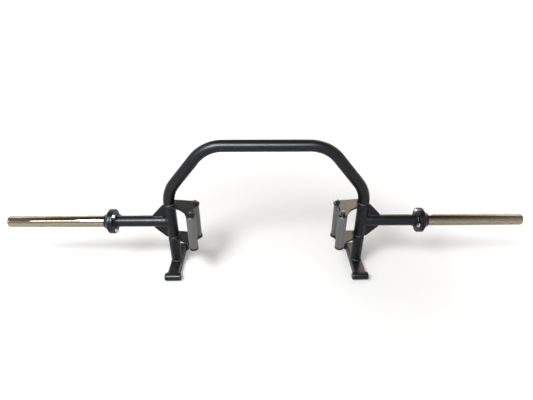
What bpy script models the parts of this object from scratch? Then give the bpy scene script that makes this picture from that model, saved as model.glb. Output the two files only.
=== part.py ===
"""Open-ended trap bar: a bent U of steel tube with bolted-on sleeves, four knurled grips and two jack feet.

The bar is drawn in its own frame, which the empty bar_frame then stands upright on its feet:
x runs along the sleeves, y along the arms towards the closed end of the U, and z out of the
plane of the U towards the raised grips. y = z = 0 is the common axis of the two sleeves.
Lengths are in metres.
"""

import math

import bmesh
import bpy
from mathutils import Matrix, Vector

# Clearance between pieces that touch, and round a bolt in its hole
GAP = 0.0003
HOLE_CLEARANCE = 0.0005

# U-shaped frame tube
TUBE_OD = 0.0483
TUBE_WALL = 0.004
ARM_X = 0.411
ARM_END_Y = -0.206
DIAGONAL_START_Y = 0.144
DIAGONAL_END_X = 0.242
CLOSED_END_Y = 0.350
BEND_RADIUS = 0.150

# Stub tubes and their gusset plates
JOINT_X = 0.663
GUSSET_ARM_LEG = 0.056
GUSSET_STUB_LEG = 0.053
GUSSET_BLUNT = 0.007
GUSSET_SNIPE = 0.009
GUSSET_THICKNESS = 0.008

# Bolted flange joint
FLANGE_THICKNESS = 0.011
FLANGE_CHAMFER = 0.001
FLANGE_BOLT_INSET = 0.012
FLANGE_BOLT_COUNT = 3
FLANGE_BOLT_D = 0.010
FLANGE_BOLT_AF = 0.016
FLANGE_BOLT_HEAD = 0.0064
TAP_SPARE = 0.002
FLANGE_WASHER_OD = 0.020
FLANGE_WASHER = 0.002
FLANGE_WASHER_CLEARANCE = 0.0015

# Sleeve hub: heights above the outboard face of its flange
HUB_SHOULDER_INSET = 0.004
HUB_SHOULDER = 0.002
HUB_STEP_D = 0.081
HUB_STEP = 0.009
HUB_COLLAR_D = 0.070
HUB_COLLAR = 0.013
HUB_NOSE_D = 0.061
HUB_NOSE = 0.017
HUB_TOP = 0.022

# Sleeves
SLEEVE_OD = 0.050
SLEEVE_WALL = 0.005
SLEEVE_LENGTH = 0.412
CAP_LENGTH = 0.010
CAP_ROUND = 0.006
CAP_SPIGOT = 0.012

# Handle plates
PLATE_THICKNESS = 0.008
UPPER_PLATE_TOP_Y = 0.090
EAR_RADIUS = 0.019
COLLAR_MARGIN = 0.008
COLLAR_END_DEG = 115.0
WAIST_RADIUS = 0.044
SWEEP_RADIUS = 0.085

# Grips and the bolts that hold them
GRIP_LENGTH = 0.156
LOW_GRIP_X = 0.3025
LOW_GRIP_OD = 0.032
HIGH_GRIP_X = 0.3085
HIGH_GRIP_Z = 0.088
HIGH_GRIP_OD = 0.038
GRIP_CHAMFER = 0.001
GRIP_BOLT_D = 0.010
GRIP_BOLT_AF = 0.016
GRIP_BOLT_HEAD = 0.005
GRIP_NUT_HEIGHT = 0.0084
GRIP_BOLT_PROUD = 0.003
GRIP_WASHER_OD = 0.020
GRIP_WASHER = 0.0015

# Jack feet
FOOT_WIDTH = 0.048
FOOT_WALL = 0.005
FOOT_BEND = 0.006
FOOT_BAR_OD = 0.0337
FOOT_BAR_LENGTH = 0.069
FOOT_BAR_Z = 0.108
FOOT_BAR_ROUND = 0.004
FOOT_COPE_LAP = 0.006

# Weld beads: how far they sink into the piece that carries them, and how full a turned one is
BEAD_D = 0.006
SMALL_BEAD_D = 0.005
BEAD_SINK = 0.002
BEAD_SWELL = 0.65

TUBE_R = TUBE_OD / 2
SLEEVE_R = SLEEVE_OD / 2
BOLT_CIRCLE_R = TUBE_R + GAP + SMALL_BEAD_D + FLANGE_WASHER_CLEARANCE + FLANGE_WASHER_OD / 2
FLANGE_R = BOLT_CIRCLE_R + FLANGE_BOLT_INSET
FOOT_BOTTOM_Y = ARM_END_Y - FOOT_BAR_OD
LOWER_PLATE_TOP_Y = UPPER_PLATE_TOP_Y - PLATE_THICKNESS - GRIP_LENGTH
HUB_LENGTH = FLANGE_THICKNESS + HUB_TOP
SLEEVE_END_X = JOINT_X + HUB_LENGTH + SLEEVE_LENGTH
SIDES = {"left": -1, "right": 1}
LEVELS = {"upper": 1, "lower": -1}
# Facets: round bars and tubes, copes, flanges, small fasteners, and points on weld beads and bends
ROUND_STEPS = 24
COPE_STEPS = 36
FLANGE_STEPS = 27
SMALL_STEPS = 12
BEAD_POINTS = 16
BEND_POINTS = 6


def clear_scene():
    for old in list(bpy.data.objects):
        bpy.data.objects.remove(old, do_unlink=True)


def new_collection(name):
    group = bpy.data.collections.new(name)
    bpy.context.scene.collection.children.link(group)
    return group


def make_material(name, colour, roughness, metallic):
    material = bpy.data.materials.new(name)
    material.use_nodes = True
    shader = material.node_tree.nodes["Principled BSDF"]
    shader.inputs["Base Color"].default_value = (*colour, 1.0)
    shader.inputs["Roughness"].default_value = roughness
    shader.inputs["Metallic"].default_value = metallic
    return material


clear_scene()
PARTS = new_collection("trap_bar")
CUTTERS = new_collection("cutters")
BLACK = make_material("black_powder_coat", (0.012, 0.012, 0.014), 0.35, 0.0)
CHROME = make_material("sleeve_chrome", (0.75, 0.73, 0.70), 0.12, 1.0)
STEEL = make_material("knurled_steel", (0.42, 0.42, 0.43), 0.40, 1.0)
ZINC = make_material("zinc_plate", (0.66, 0.70, 0.74), 0.30, 1.0)
DARK_STEEL = make_material("black_oxide", (0.045, 0.045, 0.05), 0.35, 1.0)

FRAME = bpy.data.objects.new("bar_frame", None)
PARTS.objects.link(FRAME)
FRAME.rotation_euler = (math.pi / 2, 0.0, 0.0)
FRAME.location = (0.0, 0.0, -FOOT_BOTTOM_Y)


def add_part(name, mesh, material, matrix=None):
    """Link one named piece, placed in the bar's own frame."""
    part = bpy.data.objects.new(name, mesh)
    PARTS.objects.link(part)
    part.parent = FRAME
    part.matrix_basis = matrix or Matrix.Identity(4)
    mesh.materials.clear()
    mesh.materials.append(material)
    return part


def smooth(mesh):
    mesh.shade_smooth()
    mesh.set_sharp_from_angle(angle=math.radians(35))


def helper_object(mesh, matrix=None):
    """A hidden tool for Boolean modifiers, placed in the bar's own frame."""
    tool = bpy.data.objects.new("tool", mesh)
    CUTTERS.objects.link(tool)
    tool.parent = FRAME
    tool.matrix_basis = matrix or Matrix.Identity(4)
    tool.hide_render = True
    tool.display_type = "WIRE"
    return tool


def combine(part, operation, mesh, matrix=None):
    """Cut a shape out of a piece, or join it on."""
    boolean = part.modifiers.new(operation.lower(), "BOOLEAN")
    boolean.operation = operation
    boolean.solver = "EXACT"
    boolean.object = helper_object(mesh, matrix)


def finished_mesh(source):
    """The mesh that a curve or an object with modifiers ends as, with its loose caps welded."""
    bpy.context.view_layer.update()
    graph = bpy.context.evaluated_depsgraph_get()
    mesh = bpy.data.meshes.new_from_object(source.evaluated_get(graph))
    shape = bmesh.new()
    shape.from_mesh(mesh)
    bmesh.ops.remove_doubles(shape, verts=shape.verts, dist=1e-6)
    shape.to_mesh(mesh)
    shape.free()
    bpy.data.objects.remove(source, do_unlink=True)
    return mesh


def curve_mesh(curve, runs, closed):
    for run in runs:
        spline = curve.splines.new("POLY")
        spline.points.add(len(run) - 1)
        for point, place in zip(spline.points, run):
            point.co = (*place, 1.0)
        spline.use_cyclic_u = closed
    holder = bpy.data.objects.new("curve", curve)
    bpy.context.scene.collection.objects.link(holder)
    return finished_mesh(holder)


def swept_mesh(points, diameter, caps=True, resolution=1, closed=False):
    """A round bar, or an open tube skin, along straight runs between points."""
    curve = bpy.data.curves.new("path", "CURVE")
    curve.dimensions = "3D"
    curve.bevel_depth = diameter / 2
    curve.bevel_resolution = resolution
    curve.use_fill_caps = caps
    return curve_mesh(curve, [points], closed)


def plate_mesh(outlines, thickness):
    """A flat plate from closed outlines in its xy plane, the first its edge and the rest its holes."""
    curve = bpy.data.curves.new("outline", "CURVE")
    curve.dimensions = "2D"
    curve.fill_mode = "BOTH"
    curve.extrude = thickness / 2
    return curve_mesh(curve, [[(x, y, 0.0) for x, y in outline] for outline in outlines], True)


def turned_mesh(profile, steps=ROUND_STEPS, closed=True):
    """(radius, height) points down the outer side, spun about the local z axis."""
    mesh = bpy.data.meshes.new("profile")
    edges = [(i, i + 1) for i in range(len(profile) - 1)]
    if closed:
        edges.append((len(profile) - 1, 0))
    mesh.from_pydata([(radius, 0.0, height) for radius, height in profile], edges, [])
    holder = bpy.data.objects.new("profile", mesh)
    bpy.context.scene.collection.objects.link(holder)
    spin = holder.modifiers.new("turn", "SCREW")
    spin.steps = steps
    spin.render_steps = steps
    spin.use_merge_vertices = True
    spin.merge_threshold = 1e-6
    return finished_mesh(holder)


def prism_mesh(radius, length, sides=ROUND_STEPS, start=0.0):
    """A straight round or many-sided bar up the local z axis from the given height."""
    shape = bmesh.new()
    made = bmesh.ops.create_cone(shape, cap_ends=True, segments=sides, radius1=radius, radius2=radius, depth=length)
    bmesh.ops.translate(shape, verts=made["verts"], vec=(0.0, 0.0, start + length / 2))
    mesh = bpy.data.meshes.new("prism")
    shape.to_mesh(mesh)
    shape.free()
    return mesh


def hexagon_object(across_flats, height, crowned_below):
    """A hexagon whose corners are turned down to a cone above, and below too on a nut."""
    flat_r = across_flats / 2
    corner_r = flat_r / math.cos(math.pi / 6)
    slope = math.tan(math.pi / 6)
    reach = 2 * corner_r - flat_r
    drop = slope * (reach - flat_r)
    profile = [(0.0, height + slope * flat_r), (reach, height - drop)]
    if crowned_below:
        profile += [(reach, drop), (0.0, -slope * flat_r)]
    else:
        profile += [(reach, -reach), (0.0, -reach)]
    holder = bpy.data.objects.new("hexagon", prism_mesh(corner_r, height, sides=6))
    bpy.context.scene.collection.objects.link(holder)
    holder.parent = FRAME
    combine(holder, "INTERSECT", turned_mesh(profile, steps=SMALL_STEPS, closed=False))
    return holder


def bolt_mesh(diameter, shank, across_flats, head):
    """A hexagon bolt: its head above z = 0 and its shank below."""
    holder = hexagon_object(across_flats, head, crowned_below=False)
    tip = diameter / 10
    profile = [(0.0, head / 2), (diameter / 2, head / 2), (diameter / 2, tip - shank),
               (diameter / 2 - tip, -shank), (0.0, -shank)]
    combine(holder, "UNION", turned_mesh(profile, steps=SMALL_STEPS, closed=False))
    mesh = finished_mesh(holder)
    smooth(mesh)
    return mesh


def nut_mesh(diameter, across_flats, height):
    """A hexagon nut standing on z = 0."""
    holder = hexagon_object(across_flats, height, crowned_below=True)
    combine(holder, "DIFFERENCE", prism_mesh(diameter / 2 + GAP, 3 * height, SMALL_STEPS, -height))
    mesh = finished_mesh(holder)
    smooth(mesh)
    return mesh


def washer_mesh(bolt_d, outer_d, thickness):
    """A flat washer standing on z = 0."""
    bore = bolt_d / 2 + HOLE_CLEARANCE
    return turned_mesh([(outer_d / 2, thickness), (outer_d / 2, 0.0), (bore, 0.0), (bore, thickness)],
                       steps=SMALL_STEPS)


def along_x(x, y=0.0, z=0.0, facing=1):
    """Place a piece whose local z axis points along the sleeves, to the right (1) or left (-1)."""
    return Matrix.Translation((x, y, z)) @ Matrix.Rotation(facing * math.pi / 2, 4, "Y")


def along_y(x, y=0.0, z=0.0, facing=1):
    """Place a piece whose local z axis points along the arms, to (1) or from (-1) the closed end."""
    return Matrix.Translation((x, y, z)) @ Matrix.Rotation(-facing * math.pi / 2, 4, "X")


def arc(centre, radius, start_deg, end_deg, count):
    """Points along an arc in a plane, both ends included."""
    angles = [math.radians(start_deg + (end_deg - start_deg) * i / (count - 1)) for i in range(count)]
    return [(centre[0] + radius * math.cos(a), centre[1] + radius * math.sin(a)) for a in angles]


def circle(centre, radius, count):
    return arc(centre, radius, 0.0, 360.0 * (count - 1) / count, count)


def rounded_path(corners, radius, count):
    """A path in the xy plane through corners, each rounded to the given radius."""
    path = [corners[0]]
    for before, corner, after in zip(corners, corners[1:], corners[2:]):
        inward = (Vector(before) - Vector(corner)).normalized()
        outward = (Vector(after) - Vector(corner)).normalized()
        half_angle = inward.angle(outward) / 2
        centre = Vector(corner) + (inward + outward).normalized() * radius / math.sin(half_angle)
        tangent = radius / math.tan(half_angle)
        start = angle_deg(centre, Vector(corner) + inward * tangent)
        end = angle_deg(centre, Vector(corner) + outward * tangent)
        sweep = (end - start + 180.0) % 360.0 - 180.0
        path += arc(centre, radius, start, start + sweep, count)
    path.append(corners[-1])
    return path


def tangent_centre(centre_a, radius_a, centre_b, radius_b, radius, side):
    """Centre of the circle that touches two circles from outside, on one side of the line between them."""
    a = Vector(centre_a)
    span = (Vector(centre_b) - a).length
    direction = (Vector(centre_b) - a).normalized()
    reach_a = radius + radius_a
    reach_b = radius + radius_b
    forward = (reach_a ** 2 - reach_b ** 2 + span ** 2) / (2 * span)
    offset = math.sqrt(reach_a ** 2 - forward ** 2)
    return a + direction * forward + Vector((-direction.y, direction.x)) * offset * side


def angle_deg(centre, target):
    offset = Vector(target) - Vector(centre)
    return math.degrees(math.atan2(offset.y, offset.x))


# U frame: one tube bent four times, open at its two ends
def make_u_frame():
    end_y = ARM_END_Y + GAP
    corners = [(-ARM_X, end_y), (-ARM_X, DIAGONAL_START_Y), (-DIAGONAL_END_X, CLOSED_END_Y),
               (DIAGONAL_END_X, CLOSED_END_Y), (ARM_X, DIAGONAL_START_Y), (ARM_X, end_y)]
    path = [(x, y, 0.0) for x, y in rounded_path(corners, BEND_RADIUS, BEND_POINTS)]
    skin = swept_mesh(path, TUBE_OD, caps=False, resolution=6)
    smooth(skin)
    frame = add_part("u_frame", skin, BLACK)
    wall = frame.modifiers.new("wall", "SOLIDIFY")
    wall.thickness = TUBE_WALL
    wall.offset = -1.0
    wall.use_even_offset = True


# Stub tubes: coped to the arms, let into the flanges, with a weld bead round the saddle
def make_stub_tube(side_name, side):
    length = JOINT_X - FLANGE_CHAMFER - ARM_X
    inner_r = TUBE_R - TUBE_WALL
    profile = [(TUBE_R, length), (TUBE_R, 0.0), (inner_r, 0.0), (inner_r, length)]
    mesh = turned_mesh(profile)
    smooth(mesh)
    stub = add_part(f"stub_tube_{side_name}", mesh, BLACK, along_x(side * ARM_X, facing=side))
    half = 2 * TUBE_OD
    combine(stub, "DIFFERENCE", prism_mesh(TUBE_R + GAP, 2 * half, COPE_STEPS, -half), along_y(side * ARM_X))
    on_arm = TUBE_R + GAP + BEAD_D / 2
    on_stub = TUBE_R + BEAD_D / 2 - BEAD_SINK
    saddle = [(side * (ARM_X + math.sqrt(on_arm ** 2 - z ** 2)), y, z) for y, z in circle((0, 0), on_stub, BEAD_POINTS)]
    combine(stub, "UNION", swept_mesh(saddle, BEAD_D, closed=True))


# Gussets: blunt triangles with a sniped corner, welded on both faces to the arm and the stub
def make_gusset(side_name, side, level_name, level):
    start = TUBE_R + GAP
    arm_end = TUBE_R + GUSSET_ARM_LEG
    stub_end = TUBE_R + GUSSET_STUB_LEG
    outline = [(start + GUSSET_SNIPE, start), (start, start + GUSSET_SNIPE), (start, arm_end),
               (start + GUSSET_BLUNT, arm_end), (stub_end, start + GUSSET_BLUNT), (stub_end, start)]
    placed = [(side * (ARM_X + x), level * y) for x, y in outline]
    name = f"gusset_{level_name}_{side_name}"
    gusset = add_part(name, plate_mesh([placed], GUSSET_THICKNESS), BLACK)
    z = GUSSET_THICKNESS / 2 + SMALL_BEAD_D / 2 - BEAD_SINK
    seat = math.sqrt((start + SMALL_BEAD_D / 2) ** 2 - z ** 2)
    near = start + GUSSET_SNIPE
    for face in (1, -1):
        on_stub = [(side * (ARM_X + x), level * seat, face * z) for x in (near, stub_end)]
        on_arm = [(side * (ARM_X + seat), level * y, face * z) for y in (near, arm_end)]
        for run in (on_stub, on_arm):
            combine(gusset, "UNION", swept_mesh(run, SMALL_BEAD_D))


# Flange joint: a ring welded round the stub, bolted to the sleeve's hub
def flange_bolt_places(side):
    """Bolt centres as (y, z): one bolt faces the raised grips on the right, and away on the left."""
    first = side * math.pi / 2
    step = 2 * math.pi / FLANGE_BOLT_COUNT
    return [(BOLT_CIRCLE_R * math.cos(first + i * step), BOLT_CIRCLE_R * math.sin(first + i * step))
            for i in range(FLANGE_BOLT_COUNT)]


def make_stub_flange(side_name, side):
    bore = TUBE_R + GAP
    top = FLANGE_THICKNESS - GAP
    rim = FLANGE_R - FLANGE_CHAMFER
    bead = SMALL_BEAD_D
    profile = [(rim, top), (FLANGE_R, top - FLANGE_CHAMFER), (FLANGE_R, FLANGE_CHAMFER), (rim, 0.0),
               (bore + bead, 0.0), (bore + bead * BEAD_SWELL, -bead * BEAD_SWELL), (bore, -bead), (bore, top)]
    mesh = turned_mesh(profile, steps=FLANGE_STEPS)
    smooth(mesh)
    inner_face = JOINT_X - FLANGE_THICKNESS
    flange = add_part(f"stub_flange_{side_name}", mesh, BLACK, along_x(side * inner_face, facing=side))
    for y, z in flange_bolt_places(side):
        hole = prism_mesh(FLANGE_BOLT_D / 2 + HOLE_CLEARANCE, 3 * FLANGE_THICKNESS, SMALL_STEPS, -FLANGE_THICKNESS)
        combine(flange, "DIFFERENCE", hole, along_x(side * inner_face, y, z, side))


def make_sleeve_hub(side_name, side):
    bore = SLEEVE_R + GAP
    rim = FLANGE_R - FLANGE_CHAMFER
    outline = [(HUB_NOSE_D / 2, HUB_TOP), (HUB_NOSE_D / 2, HUB_NOSE), (HUB_COLLAR_D / 2, HUB_COLLAR),
               (HUB_STEP_D / 2, HUB_STEP), (FLANGE_R - HUB_SHOULDER_INSET, HUB_SHOULDER), (rim, 0.0)]
    profile = [(radius, FLANGE_THICKNESS + height) for radius, height in outline]
    profile += [(FLANGE_R, FLANGE_THICKNESS - FLANGE_CHAMFER), (FLANGE_R, FLANGE_CHAMFER), (rim, 0.0),
                (bore, 0.0), (bore, HUB_LENGTH)]
    mesh = turned_mesh(profile, steps=FLANGE_STEPS)
    smooth(mesh)
    hub = add_part(f"sleeve_hub_{side_name}", mesh, BLACK, along_x(side * JOINT_X, facing=side))
    for y, z in flange_bolt_places(side):
        hole = prism_mesh(FLANGE_BOLT_D / 2 + GAP, 2 * FLANGE_THICKNESS, SMALL_STEPS, -FLANGE_THICKNESS)
        combine(hub, "DIFFERENCE", hole, along_x(side * JOINT_X, y, z, side))


def make_flange_fasteners(side_name, side):
    washer_face = JOINT_X - FLANGE_THICKNESS - GAP
    head_face = washer_face - FLANGE_WASHER - GAP
    shank = JOINT_X + FLANGE_THICKNESS - TAP_SPARE - head_face
    bolt = bolt_mesh(FLANGE_BOLT_D, shank, FLANGE_BOLT_AF, FLANGE_BOLT_HEAD)
    washer = washer_mesh(FLANGE_BOLT_D, FLANGE_WASHER_OD, FLANGE_WASHER)
    for number, (y, z) in enumerate(flange_bolt_places(side), 1):
        add_part(f"flange_bolt_{side_name}_{number}", bolt, ZINC, along_x(side * head_face, y, z, -side))
        add_part(f"flange_washer_{side_name}_{number}", washer, ZINC, along_x(side * washer_face, y, z, -side))


# Sleeves: plain tubes let into the hubs, closed by a round-edged cap
def make_sleeve(side_name, side):
    start = JOINT_X + FLANGE_CHAMFER
    length = SLEEVE_END_X - CAP_LENGTH - start
    inner_r = SLEEVE_R - SLEEVE_WALL
    tube = turned_mesh([(SLEEVE_R, length), (SLEEVE_R, 0.0), (inner_r, 0.0), (inner_r, length)])
    smooth(tube)
    add_part(f"sleeve_tube_{side_name}", tube, CHROME, along_x(side * start, facing=side))
    spigot_r = inner_r - GAP
    edge = arc((SLEEVE_R - CAP_ROUND, CAP_LENGTH - CAP_ROUND), CAP_ROUND, 90.0, 0.0, 4)
    profile = [(0.0, CAP_LENGTH)] + edge + [(SLEEVE_R, GAP), (spigot_r, GAP), (spigot_r, -CAP_SPIGOT),
                                            (0.0, -CAP_SPIGOT)]
    cap = turned_mesh(profile, closed=False)
    smooth(cap)
    add_part(f"sleeve_cap_{side_name}", cap, CHROME, along_x(side * (SLEEVE_END_X - CAP_LENGTH), facing=side))


# Handle plates: each wraps an arm, is welded to it on both faces, and carries both grips of its side
def handle_plate_outlines():
    """Edge and bolt holes, with the arm's axis at the origin, the first coordinate inwards, the second z."""
    low = (ARM_X - LOW_GRIP_X, 0.0)
    high = (ARM_X - HIGH_GRIP_X, HIGH_GRIP_Z)
    notch_r = TUBE_R + GAP
    collar_r = TUBE_R + COLLAR_MARGIN
    waist = tangent_centre(low, EAR_RADIUS, high, EAR_RADIUS, WAIST_RADIUS, -1)
    sweep = tangent_centre((0, 0), collar_r, high, EAR_RADIUS, SWEEP_RADIUS, 1)
    back_deg = -math.degrees(math.acos((collar_r - EAR_RADIUS) / low[0]))
    edge = arc((0, 0), notch_r, COLLAR_END_DEG, -COLLAR_END_DEG, 16)
    edge += arc((0, 0), collar_r, -COLLAR_END_DEG, back_deg, 3)
    edge += arc(low, EAR_RADIUS, back_deg, angle_deg(low, waist), 6)
    edge += arc(waist, WAIST_RADIUS, angle_deg(waist, low) + 360.0, angle_deg(waist, high), 6)[1:-1]
    edge += arc(high, EAR_RADIUS, angle_deg(high, waist), angle_deg(high, sweep), 10)
    edge += arc(sweep, SWEEP_RADIUS, angle_deg(sweep, high), angle_deg(sweep, (0, 0)), 7)[1:-1]
    edge += arc((0, 0), collar_r, angle_deg((0, 0), sweep), COLLAR_END_DEG, 4)
    hole_r = GRIP_BOLT_D / 2 + HOLE_CLEARANCE
    return [edge, circle(low, hole_r, SMALL_STEPS), circle(high, hole_r, SMALL_STEPS)]


def make_handle_plate(side_name, side, level_name, top_y):
    placed = [[(side * (ARM_X - u), -v) for u, v in outline] for outline in handle_plate_outlines()]
    mesh = plate_mesh(placed, PLATE_THICKNESS)
    middle_y = top_y - PLATE_THICKNESS / 2
    plate = add_part(f"handle_plate_{level_name}_{side_name}", mesh, BLACK, along_y(0.0, middle_y))
    seat = PLATE_THICKNESS / 2 + BEAD_D / 2 - BEAD_SINK
    ring_end = COLLAR_END_DEG - math.degrees(BEAD_D / TUBE_R)
    count = BEAD_POINTS * 2 // 3
    ring_r = (TUBE_R + GAP + BEAD_D / 2) / math.cos(math.radians(ring_end / (count - 1)))
    ring = arc((0, 0), ring_r, -ring_end, ring_end, count)
    for y in (middle_y + seat, middle_y - seat):
        bead = [(side * (ARM_X - u), y, v) for u, v in ring]
        combine(plate, "UNION", swept_mesh(bead, BEAD_D))


# Grips: knurled bars clamped between the plates by a bolt right through each
def grip_places(side):
    return {"low": (side * LOW_GRIP_X, 0.0, LOW_GRIP_OD), "high": (side * HIGH_GRIP_X, HIGH_GRIP_Z, HIGH_GRIP_OD)}


def make_grips(side_name, side):
    length = GRIP_LENGTH - 2 * GAP
    bore = GRIP_BOLT_D / 2 + HOLE_CLEARANCE
    for name, (x, z, diameter) in grip_places(side).items():
        radius = diameter / 2
        end_r = radius - GRIP_CHAMFER
        profile = [(end_r, length), (radius, length - GRIP_CHAMFER), (radius, GRIP_CHAMFER), (end_r, 0.0),
                   (bore, 0.0), (bore, length)]
        mesh = turned_mesh(profile)
        smooth(mesh)
        add_part(f"grip_{name}_{side_name}", mesh, STEEL, along_y(x, LOWER_PLATE_TOP_Y + GAP, z))


def make_grip_fasteners(side_name, side):
    top_washer = UPPER_PLATE_TOP_Y + GAP
    nut_seat = top_washer + GRIP_WASHER + GAP
    bottom_washer = LOWER_PLATE_TOP_Y - PLATE_THICKNESS - GAP
    head_seat = bottom_washer - GRIP_WASHER - GAP
    shank = nut_seat + GRIP_NUT_HEIGHT + GRIP_BOLT_PROUD - head_seat
    bolt = bolt_mesh(GRIP_BOLT_D, shank, GRIP_BOLT_AF, GRIP_BOLT_HEAD)
    nut = nut_mesh(GRIP_BOLT_D, GRIP_BOLT_AF, GRIP_NUT_HEIGHT)
    washer = washer_mesh(GRIP_BOLT_D, GRIP_WASHER_OD, GRIP_WASHER)
    for name, (x, z, _) in grip_places(side).items():
        add_part(f"grip_bolt_{name}_{side_name}", bolt, DARK_STEEL, along_y(x, head_seat, z, -1))
        add_part(f"grip_nut_{name}_{side_name}", nut, DARK_STEEL, along_y(x, nut_seat, z))
        add_part(f"grip_washer_{name}_upper_{side_name}", washer, DARK_STEEL, along_y(x, top_washer, z))
        add_part(f"grip_washer_{name}_lower_{side_name}", washer, DARK_STEEL, along_y(x, bottom_washer, z, -1))


# Jack feet: a channel square across the arm's end, coped at both ends to a round bar across each
def make_foot(side_name, side):
    half = FOOT_WIDTH / 2
    bend_x = half - FOOT_BEND
    bend_y = ARM_END_Y - FOOT_BEND
    inner_bend = FOOT_BEND - FOOT_WALL
    outline = [(-half, FOOT_BOTTOM_Y)] + arc((-bend_x, bend_y), FOOT_BEND, 180.0, 90.0, 5)
    outline += arc((bend_x, bend_y), FOOT_BEND, 90.0, 0.0, 5)
    outline += [(half, FOOT_BOTTOM_Y), (half - FOOT_WALL, FOOT_BOTTOM_Y)]
    outline += arc((bend_x, bend_y), inner_bend, 0.0, 90.0, 2) + arc((-bend_x, bend_y), inner_bend, 90.0, 180.0, 2)
    outline += [(FOOT_WALL - half, FOOT_BOTTOM_Y)]
    mesh = plate_mesh([outline], 2 * (FOOT_BAR_Z - FOOT_COPE_LAP))
    channel = add_part(f"foot_channel_{side_name}", mesh, BLACK, Matrix.Translation((side * ARM_X, 0.0, 0.0)))
    half_bar = FOOT_BAR_LENGTH / 2
    edge = arc((FOOT_BAR_OD / 2 - FOOT_BAR_ROUND, half_bar - FOOT_BAR_ROUND), FOOT_BAR_ROUND, 90.0, 0.0, 3)
    profile = [(0.0, half_bar)] + edge + [(r, -h) for r, h in reversed(edge)] + [(0.0, -half_bar)]
    bar = turned_mesh(profile, closed=False)
    smooth(bar)
    bar_y = FOOT_BOTTOM_Y + FOOT_BAR_OD / 2
    for name, z in ((f"foot_bar_{side_name}", FOOT_BAR_Z), (f"foot_bar_rear_{side_name}", -FOOT_BAR_Z)):
        place = along_x(side * ARM_X, bar_y, z, side)
        cope = prism_mesh(FOOT_BAR_OD / 2 + GAP, 2 * FOOT_WIDTH, COPE_STEPS, -FOOT_WIDTH)
        combine(channel, "DIFFERENCE", cope, place)
        add_part(name, bar, BLACK, place)
    ring_r = TUBE_R + GAP + BEAD_D / 2
    spread = math.degrees(math.asin((bend_x - GAP) / ring_r))
    for middle in (90.0, -90.0):
        run = arc((side * ARM_X, 0.0), ring_r, middle - spread, middle + spread, BEAD_POINTS // 3)
        bead = [(x, ARM_END_Y + BEAD_D / 2 - BEAD_SINK, z) for x, z in run]
        combine(channel, "UNION", swept_mesh(bead, BEAD_D))


make_u_frame()
for side_word, sign in SIDES.items():
    make_stub_tube(side_word, sign)
    for level_word, up in LEVELS.items():
        make_gusset(side_word, sign, level_word, up)
    make_stub_flange(side_word, sign)
    make_sleeve_hub(side_word, sign)
    make_flange_fasteners(side_word, sign)
    make_sleeve(side_word, sign)
    make_handle_plate(side_word, sign, "upper", UPPER_PLATE_TOP_Y)
    make_handle_plate(side_word, sign, "lower", LOWER_PLATE_TOP_Y)
    make_grips(side_word, sign)
    make_grip_fasteners(side_word, sign)
    make_foot(side_word, sign)
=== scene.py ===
import math

import bmesh
import bpy
from mathutils import Matrix, Vector


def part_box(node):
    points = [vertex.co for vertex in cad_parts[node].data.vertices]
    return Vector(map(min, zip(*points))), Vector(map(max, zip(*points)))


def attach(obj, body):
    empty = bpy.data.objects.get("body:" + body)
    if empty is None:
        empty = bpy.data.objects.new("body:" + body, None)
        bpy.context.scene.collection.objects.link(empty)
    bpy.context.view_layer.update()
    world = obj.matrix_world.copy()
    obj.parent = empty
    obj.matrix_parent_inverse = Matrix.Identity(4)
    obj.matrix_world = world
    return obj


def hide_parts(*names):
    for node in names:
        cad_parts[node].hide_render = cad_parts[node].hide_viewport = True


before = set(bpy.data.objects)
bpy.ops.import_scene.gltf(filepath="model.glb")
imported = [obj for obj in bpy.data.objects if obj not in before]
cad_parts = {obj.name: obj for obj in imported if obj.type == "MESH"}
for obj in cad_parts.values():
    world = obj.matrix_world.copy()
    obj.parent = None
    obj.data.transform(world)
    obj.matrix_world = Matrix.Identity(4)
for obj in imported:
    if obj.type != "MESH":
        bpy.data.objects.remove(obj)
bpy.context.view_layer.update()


# Bent frame
# One steel tube, 1.9 in outside with a 4 mm wall, bent four times on a mandrel into a U that is
# open at the bottom, and sawn square at both ends. Like all of the frame it is powder coated
# semi-gloss black, which leaves a very faint orange-peel skin.

def new_finish(name, colour, metallic, roughness):
    finish = bpy.data.materials.new(name)
    finish.use_nodes = True
    shader = finish.node_tree.nodes["Principled BSDF"]
    shader.inputs["Base Color"].default_value = (*colour, 1.0)
    shader.inputs["Metallic"].default_value = metallic
    shader.inputs["Roughness"].default_value = roughness
    return finish


def mottle(finish, size, detail=2.0, stretch=(1.0, 1.0, 1.0)):
    """Random mottling whose blotches are about size metres across."""
    nodes, links = finish.node_tree.nodes, finish.node_tree.links
    where = nodes.new("ShaderNodeTexCoord")
    scaled = nodes.new("ShaderNodeMapping")
    scaled.inputs["Scale"].default_value = stretch
    noise = nodes.new("ShaderNodeTexNoise")
    noise.inputs["Scale"].default_value = 1.0 / size
    noise.inputs["Detail"].default_value = detail
    links.new(where.outputs["Object"], scaled.inputs["Vector"])
    links.new(scaled.outputs["Vector"], noise.inputs["Vector"])
    return noise.outputs["Fac"]


def tint(finish, pattern, low, high, start=0.35, end=0.65):
    nodes, links = finish.node_tree.nodes, finish.node_tree.links
    ramp = nodes.new("ShaderNodeValToRGB")
    first, last = ramp.color_ramp.elements
    first.position, last.position = start, end
    first.color, last.color = (*low, 1.0), (*high, 1.0)
    links.new(pattern, ramp.inputs["Fac"])
    links.new(ramp.outputs["Color"], nodes["Principled BSDF"].inputs["Base Color"])


def gloss(finish, pattern, low, high, start=0.3, end=0.7):
    """Roughness that drifts between two values over the surface."""
    nodes, links = finish.node_tree.nodes, finish.node_tree.links
    drift = nodes.new("ShaderNodeMapRange")
    drift.inputs["From Min"].default_value = start
    drift.inputs["From Max"].default_value = end
    drift.inputs["To Min"].default_value = low
    drift.inputs["To Max"].default_value = high
    links.new(pattern, drift.inputs["Value"])
    links.new(drift.outputs["Result"], nodes["Principled BSDF"].inputs["Roughness"])


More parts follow.
